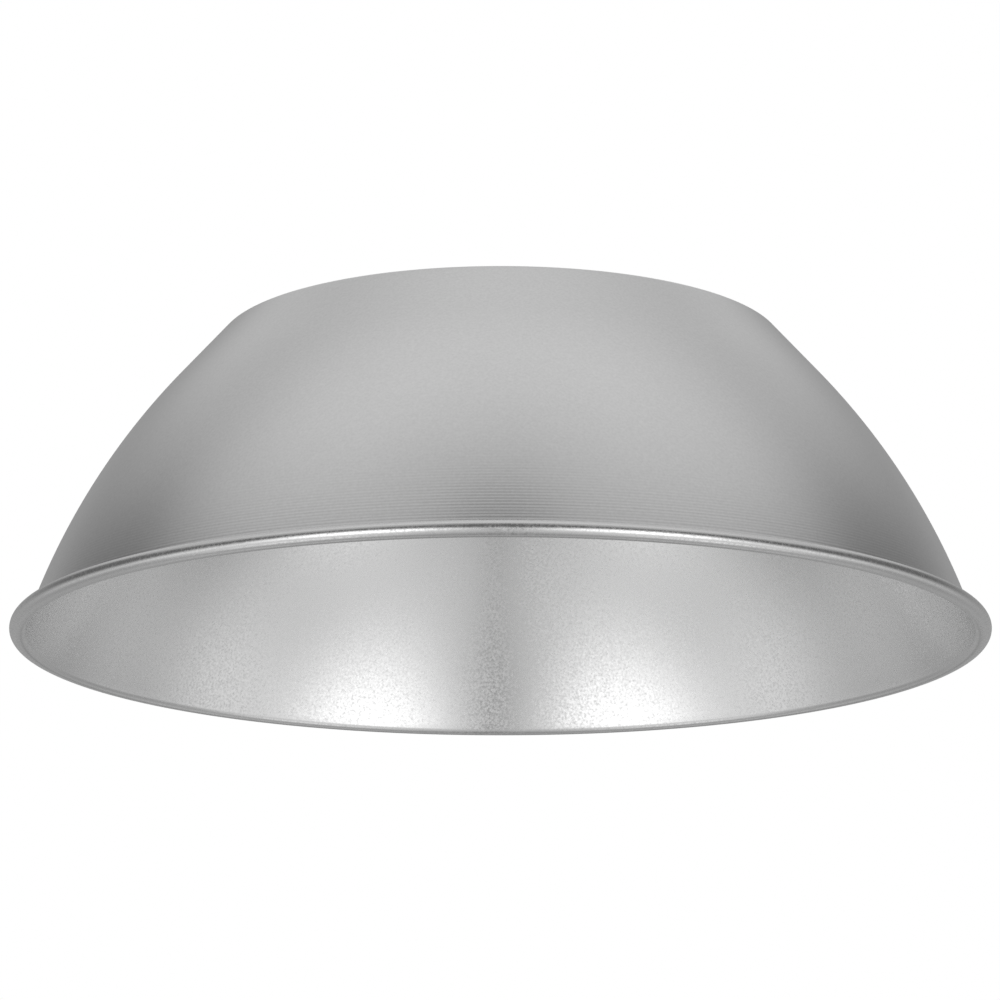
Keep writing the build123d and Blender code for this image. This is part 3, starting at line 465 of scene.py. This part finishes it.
def grain_tilt(g, place, grain_area):
    """How far each pebble of the etched grain leans."""
    grain = g.add("ShaderNodeTexNoise")
    g.link(place, grain.inputs["Vector"])
    grain.inputs["Scale"].default_value = GRAIN_SCALE
    grain.inputs["Detail"].default_value = 1.0
    lean = g.vector("SUBTRACT", grain.outputs["Color"], (0.5, 0.5, 0.5))
    return g.vector("MULTIPLY", lean, g.math("MULTIPLY", grain_area, GRAIN_TILT))


def spun_aluminium():
    """Satin spun sheet: tool grooves outside, a fine etched grain inside and under the bead."""
    material, g, shader = new_material("spun_aluminium")
    place = g.add("ShaderNodeNewGeometry").outputs["Position"]
    grain_area = g.add("ShaderNodeAttribute", attribute_name="etched").outputs["Fac"]
    grooves = g.add("ShaderNodeBump")
    grooves.inputs["Distance"].default_value = GROOVE_DEPTH
    g.link(g.math("SUBTRACT", 1.0, grain_area), grooves.inputs["Strength"])
    g.link(groove_height(g, place), grooves.inputs["Height"])
    leaning = g.vector("ADD", grooves.outputs[0], grain_tilt(g, place, grain_area))
    g.link(g.vector("NORMALIZE", leaning), shader["Normal"])

    tangent = g.add("ShaderNodeTangent", direction_type="RADIAL", axis="Z")
    g.link(tangent.outputs[0], shader["Tangent"])
    g.link(0.25, shader["Anisotropic Rotation"])
    g.link(g.math("MULTIPLY_ADD", grain_area, -SATIN_STRETCH, SATIN_STRETCH), shader["Anisotropic"])
    g.link(1.0, shader["Metallic"])
    satin = g.math("MULTIPLY_ADD", g.noise(place, 22.0, 3.0, 0.6), SATIN_CLOUDS, SATIN_ROUGHNESS)
    pebble = g.math("SUBTRACT", g.noise(place, GRAIN_SCALE, 1.0), 0.5)
    etched = g.math("MULTIPLY_ADD", pebble, GRAIN_GLOSS, GRAIN_ROUGHNESS)
    g.link(g.mix(grain_area, satin, g.math("MAXIMUM", etched, GRAIN_SHINIEST)), shader["Roughness"])
    tone = g.math("MULTIPLY_ADD", g.noise(place, 9.0), 0.02, ALUMINIUM_TONE)
    speck = g.math("MULTIPLY", pebble, g.mix(grain_area, OUTSIDE_GRAIN, 1.0))
    g.link(g.math("MULTIPLY_ADD", speck, GRAIN_SHADE, tone), shader["Base Color"])
    return material


# ---- Finishes of the other parts ----
def position(g):
    """The point on the piece, which stays with it when it moves."""
    return g.add("ShaderNodeTexCoord").outputs["Object"]


def worn_edges(g, radius, sharpness=6.0):
    """Near 1 along edges and 0 on open faces, broken up so that it looks rubbed."""
    bevel = g.add("ShaderNodeBevel", samples=4)
    bevel.inputs["Radius"].default_value = radius
    flat = g.add("ShaderNodeNewGeometry").outputs["Normal"]
    turned = g.math("SUBTRACT", 1.0, g.vector("DOT_PRODUCT", bevel.outputs[0], flat))
    broken = g.math("MULTIPLY_ADD", g.noise(position(g), 700.0, 3.0), 1.6, -0.3)
    return g.math("MULTIPLY", g.math("MULTIPLY", turned, sharpness), broken, clamp=True)


def bumps(g, shader, *layers, bevel=0.0):
    """Stacks bump layers, each (height, depth in metres), on a normal rounded at the edges."""
    normal = None
    if bevel:
        rounded = g.add("ShaderNodeBevel", samples=4)
        rounded.inputs["Radius"].default_value = bevel
        normal = rounded.outputs[0]
    for height, depth in layers:
        bump = g.add("ShaderNodeBump")
        bump.inputs["Distance"].default_value = depth
        g.link(height, bump.inputs["Height"])
        if normal is not None:
            g.link(normal, bump.inputs["Normal"])
        normal = bump.outputs[0]
    g.link(normal, shader["Normal"])


def streaks(g, along, across):
    """Fine scratches stretched along one axis."""
    stretch = g.add("ShaderNodeMapping")
    stretch.inputs["Scale"].default_value = [across if axis != along else across / 40 for axis in "XYZ"]
    g.link(position(g), stretch.inputs["Vector"])
    return g.noise(stretch.outputs[0], 1.0, 3.0, 0.65)


def plated(name, color, tint, rough, grain_axis="X", edge=0.0003):
    """Zinc or nickel plate: a cloudy tint, faint brushing, dull patches and bright rubbed edges."""
    material, g, shader = new_material(name)
    cloud = g.noise(position(g), 60.0, 4.0, 0.6)
    spots = g.ramp(g.noise(position(g), 900.0, 2.0), [(0.62, 0.0), (0.72, 1.0)])
    edges = worn_edges(g, edge)
    body = g.mix_color(cloud, color, tint)
    rubbed = g.mix_color(edges, body, RUBBED_METAL)
    dulled = g.mix_color(g.math("MULTIPLY", spots, 0.35), rubbed, DULL_SPOT)
    g.link(dulled, shader["Base Color"])
    g.link(1.0, shader["Metallic"])
    brushed = streaks(g, grain_axis, 2500.0)
    dull = g.math("MULTIPLY_ADD", cloud, 0.16, rough)
    g.link(g.math("ADD", dull, g.math("MULTIPLY", brushed, 0.08)), shader["Roughness"])
    bumps(g, shader, (brushed, 0.00001), (cloud, 0.00004), bevel=edge)
    return material


def brass(name, color, tarnish):
    """Brass with tarnish in patches and bright rubbed edges."""
    material, g, shader = new_material(name)
    cloud = g.ramp(g.noise(position(g), 180.0, 5.0, 0.65), [(0.35, 0.0), (0.75, 1.0)])
    edges = worn_edges(g, 0.0003)
    body = g.mix_color(cloud, color, tarnish)
    g.link(g.mix_color(edges, body, (0.95, 0.80, 0.50, 1)), shader["Base Color"])
    g.link(1.0, shader["Metallic"])
    brushed = streaks(g, "Z", 3000.0)
    g.link(g.math("MULTIPLY_ADD", cloud, 0.18, 0.22), shader["Roughness"])
    bumps(g, shader, (brushed, 0.00001), bevel=0.0002)
    return material


def nickel(name):
    """Thin nickel plate, worn to the brass at its edges."""
    material, g, shader = new_material(name)
    cloud = g.noise(position(g), 120.0, 4.0)
    edges = worn_edges(g, 0.0004, 9.0)
    body = g.mix_color(cloud, (0.72, 0.69, 0.63, 1), (0.66, 0.62, 0.55, 1))
    g.link(g.mix_color(edges, body, (0.80, 0.62, 0.34, 1)), shader["Base Color"])
    g.link(1.0, shader["Metallic"])
    g.link(g.math("MULTIPLY_ADD", cloud, 0.15, 0.12), shader["Roughness"])
    bumps(g, shader, (streaks(g, "X", 1800.0), 0.000008), bevel=0.0003)
    return material


def powder_coat(name):
    """Textured grey paint: fine orange peel, dust on level faces and bare metal showing at rubbed edges."""
    material, g, shader = new_material(name)
    peel = g.noise(position(g), 1400.0, 2.0, 0.55)
    fleck = g.noise(position(g), 4000.0, 1.0)
    edges = g.ramp(worn_edges(g, 0.0005, 5.0), [(0.55, 0.0), (0.7, 1.0)])
    level = g.add("ShaderNodeSeparateXYZ")
    g.link(g.add("ShaderNodeNewGeometry").outputs["Normal"], level.inputs[0])
    upward = g.math("POWER", g.math("MAXIMUM", level.outputs["Z"], 0.0), 3.0)
    patches = g.ramp(g.noise(position(g), 70.0, 4.0, 0.7), [(0.4, 0.0), (0.75, 0.45)])
    settled = g.math("MULTIPLY", upward, patches)
    paint_color = g.mix_color(fleck, (0.21, 0.22, 0.23, 1), (0.27, 0.28, 0.29, 1))
    dusty = g.mix_color(settled, paint_color, (0.45, 0.43, 0.39, 1))
    g.link(g.mix_color(edges, dusty, (0.62, 0.62, 0.62, 1)), shader["Base Color"])
    g.link(g.math("MULTIPLY", edges, 0.9), shader["Metallic"])
    g.link(g.math("MULTIPLY_ADD", peel, 0.2, 0.38), shader["Roughness"])
    bumps(g, shader, (peel, 0.00012), bevel=0.0004)
    return material


def porcelain(name):
    """White glaze: faint waves, pin specks and a cream tint where the glaze runs thin at edges."""
    material, g, shader = new_material(name)
    wave = g.noise(position(g), 90.0, 2.0)
    specks = g.ramp(g.noise(position(g), 1500.0, 1.0), [(0.74, 0.0), (0.78, 1.0)])
    edges = worn_edges(g, 0.0008, 4.0)
    body = g.mix_color(wave, (0.86, 0.84, 0.79, 1), (0.80, 0.78, 0.72, 1))
    thin = g.mix_color(edges, body, (0.72, 0.62, 0.48, 1))
    g.link(g.mix_color(g.math("MULTIPLY", specks, 0.6), thin, (0.35, 0.28, 0.2, 1)), shader["Base Color"])
    g.link(g.math("MULTIPLY_ADD", wave, 0.1, 0.14), shader["Roughness"])
    shader["Coat Weight"].default_value = 0.6
    shader["Coat Roughness"].default_value = 0.05
    bumps(g, shader, (wave, 0.0001), bevel=0.0008)
    return material


def steatite(name):
    """Unglazed ceramic: a sandy grain and faint stains."""
    material, g, shader = new_material(name)
    grain = g.noise(position(g), 2600.0, 3.0, 0.7)
    stain = g.noise(position(g), 110.0, 4.0)
    body = g.mix_color(stain, (0.72, 0.67, 0.58, 1), (0.62, 0.56, 0.47, 1))
    g.link(g.mix_color(worn_edges(g, 0.0004), body, (0.82, 0.79, 0.72, 1)), shader["Base Color"])
    g.link(g.math("MULTIPLY_ADD", grain, 0.2, 0.55), shader["Roughness"])
    bumps(g, shader, (grain, 0.00005), bevel=0.0004)
    return material


def rubber(name, dark, light, shine):
    """Silicone: a fine moulded skin, slightly dusty and paler in patches."""
    material, g, shader = new_material(name)
    skin = g.noise(position(g), 3500.0, 2.0)
    dust = g.ramp(g.noise(position(g), 300.0, 4.0, 0.7), [(0.45, 0.0), (0.8, 1.0)])
    g.link(g.mix_color(g.math("MULTIPLY", dust, 0.6), dark, light), shader["Base Color"])
    g.link(g.math("MULTIPLY_ADD", skin, 0.2, shine), shader["Roughness"])
    bumps(g, shader, (skin, 0.00003))
    return material


def earth_stripes(name):
    """Green and yellow lengthwise stripes on a wire that runs level."""
    material, g, shader = new_material(name)
    skin = g.noise(position(g), 3500.0, 2.0)
    level = g.add("ShaderNodeSeparateXYZ")
    g.link(g.add("ShaderNodeNewGeometry").outputs["Normal"], level.inputs[0])
    steep = g.math("ABSOLUTE", level.outputs["Z"])
    stripe = g.ramp(g.math("MULTIPLY_ADD", skin, 0.05, steep), [(0.55, 0.0), (0.6, 1.0)])
    g.link(g.mix_color(stripe, (0.75, 0.62, 0.06, 1), (0.05, 0.30, 0.06, 1)), shader["Base Color"])
    g.link(g.math("MULTIPLY_ADD", skin, 0.2, 0.35), shader["Roughness"])
    bumps(g, shader, (skin, 0.00003))
    return material


# ---- Parts rebuilt in finer detail than the CAD carries ----
def tube(name, path, radius, sides=16):
    """A round wire along a list of points."""
    work = bmesh.new()
    rings = []
    for i, point in enumerate(path):
        ahead = path[min(i + 1, len(path) - 1)] - path[max(i - 1, 0)]
        side = ahead.cross(Vector((0, 0, 1))).normalized()
        up = side.cross(ahead).normalized()
        turns = [2 * math.pi * k / sides for k in range(sides)]
        spokes = [math.cos(t) * side + math.sin(t) * up for t in turns]
        rings.append([work.verts.new(point + radius * spoke) for spoke in spokes])
    for here, there in zip(rings, rings[1:]):
        for k in range(sides):
            work.faces.new((here[k], here[(k + 1) % sides], there[(k + 1) % sides], there[k]))
    work.faces.new(rings[0][::-1])
    work.faces.new(rings[-1])
    bmesh.ops.recalc_face_normals(work, faces=work.faces)
    mesh = bpy.data.meshes.new(name)
    work.to_mesh(mesh)
    work.free()
    piece = bpy.data.objects.new(name, mesh)
    bpy.context.scene.collection.objects.link(piece)
    return piece


def finish_piece(piece, node, material):
    """Smooths a piece of the fixed body and lets it stand for a CAD node."""
    piece.data.shade_smooth()
    piece.data.set_sharp_from_angle(angle=math.radians(SHARP_ANGLE))
    piece.data.materials.append(material)
    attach(piece, "fixture")
    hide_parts(node)


def spring_path(mean_r, bottom, top):
    """The wire's centre line: a helix whose end turns lie together."""
    open_turns = SPRING_COILS - 2 * SPRING_CLOSED
    rise = top - bottom - 4 * SPRING_CLOSED * SPRING_WIRE_R
    path = []
    for i in range(SPRING_COILS * SPRING_STEPS + 1):
        turn = i / SPRING_STEPS
        share = min(max((turn - SPRING_CLOSED) / open_turns, 0.0), 1.0)
        closed = min(turn, SPRING_CLOSED) + max(turn - SPRING_COILS + SPRING_CLOSED, 0.0)
        z = bottom + 2 * SPRING_WIRE_R * closed + share * rise
        angle = 2 * math.pi * turn
        path.append(Vector((mean_r * math.cos(angle), mean_r * math.sin(angle), z)))
    return path


def build_spring(material):
    """Compression spring behind the centre contact."""
    low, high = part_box("contact_spring")
    path = spring_path(high.x - SPRING_WIRE_R, low.z + SPRING_WIRE_R, high.z - SPRING_WIRE_R)
    spring = tube("contact_coil", path, SPRING_WIRE_R, SPRING_SIDES)
    finish_piece(spring, "contact_spring", material)
    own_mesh(spring)


def roll_thread(mesh, inner_r, bottom, top):
    """Presses a round thread into the shell's wall, running out at both ends."""
    for vertex in mesh.vertices:
        x, y, z = vertex.co
        radius = math.hypot(x, y)
        if radius < inner_r - SHELL_T:
            continue
        ease = min((z - bottom) / THREAD_RUN_OUT, (top - z) / THREAD_RUN_OUT, 1.0)
        phase = 2 * math.pi * z / THREAD_PITCH - math.atan2(y, x)
        dip = THREAD_DEPTH * max(ease, 0.0) * (0.5 - 0.5 * math.cos(phase))
        vertex.co.x *= (radius - dip) / radius
        vertex.co.y *= (radius - dip) / radius


def build_screw_shell(material):
    """The lamp thread, rolled into a thin shell, with its stepped floor."""
    low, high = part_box("screw_shell")
    outer_r = high.x
    inner_r = outer_r - SHELL_T
    step_inner_r = SHELL_STEP_R - SHELL_T
    wall_top = high.z - SHELL_STEP_H
    heights = [low.z + (wall_top - low.z) * i / THREAD_ROWS for i in range(THREAD_ROWS + 1)]
    inside = [(inner_r, z) for z in heights]
    floor = [(step_inner_r, wall_top), (step_inner_r, high.z - SHELL_T), (SHELL_BORE_R, high.z - SHELL_T)]
    back = [(SHELL_BORE_R, high.z), (SHELL_STEP_R, high.z), (SHELL_STEP_R, wall_top + SHELL_T)]
    outside = [(outer_r, z) for z in reversed(heights)]
    shell = lathe("thread_shell", inside + floor + back + outside, THREAD_SIDES)
    roll_thread(shell.data, inner_r, low.z, wall_top)
    face_outward(shell.data)
    finish_piece(shell, "screw_shell", material)


def build_finishes():
    """One material for each of the record's slots but the shade's."""
    brown, blue = (0.12, 0.045, 0.02, 1), (0.02, 0.09, 0.32, 1)
    return {
        "plated_steel": plated("plated_steel", (0.66, 0.67, 0.69, 1), (0.58, 0.60, 0.60, 1), 0.24),
        "plated_fixings": plated("plated_fixings", (0.72, 0.72, 0.73, 1), (0.64, 0.65, 0.62, 1), 0.16,
                                 "Z", 0.0002),
        "bail_wire": plated("bail_wire", (0.62, 0.63, 0.65, 1), (0.55, 0.56, 0.56, 1), 0.2),
        "spring_steel": plated("spring_steel", (0.50, 0.51, 0.54, 1), (0.40, 0.39, 0.38, 1), 0.26,
                               "Z", 0.0001),
        "tinned_copper": plated("tinned_copper", (0.70, 0.69, 0.66, 1), (0.60, 0.58, 0.54, 1), 0.34,
                                "Z", 0.0002),
        "cover_paint": powder_coat("cover_paint"),
        "porcelain": porcelain("porcelain"),
        "block_ceramic": steatite("block_ceramic"),
        "nickel_brass": nickel("nickel_brass"),
        "plain_brass": brass("plain_brass", (0.76, 0.58, 0.30, 1), (0.50, 0.36, 0.18, 1)),
        "gasket_rubber": rubber("gasket_rubber", (0.02, 0.02, 0.02, 1), (0.12, 0.11, 0.10, 1), 0.6),
        "brown_silicone": rubber("brown_silicone", brown, (0.22, 0.13, 0.09, 1), 0.38),
        "blue_silicone": rubber("blue_silicone", blue, (0.12, 0.18, 0.34, 1), 0.38),
        "green_yellow_silicone": earth_stripes("green_yellow_silicone"),
    }


def paint_nodes(finishes):
    """Paints every CAD node by its slot. The shade's node is replaced by its own piece."""
    for part in frame["record"]["subparts"]:
        if part["material_slot"] in finishes:
            paint(part["node"], finishes[part["material_slot"]])


build_world()
build_stage()
build_camera()
build_shade()
finishes = build_finishes()
paint_nodes(finishes)
build_spring(finishes["spring_steel"])
build_screw_shell(finishes["nickel_brass"])

bpy.context.scene.view_settings.view_transform = "Standard"
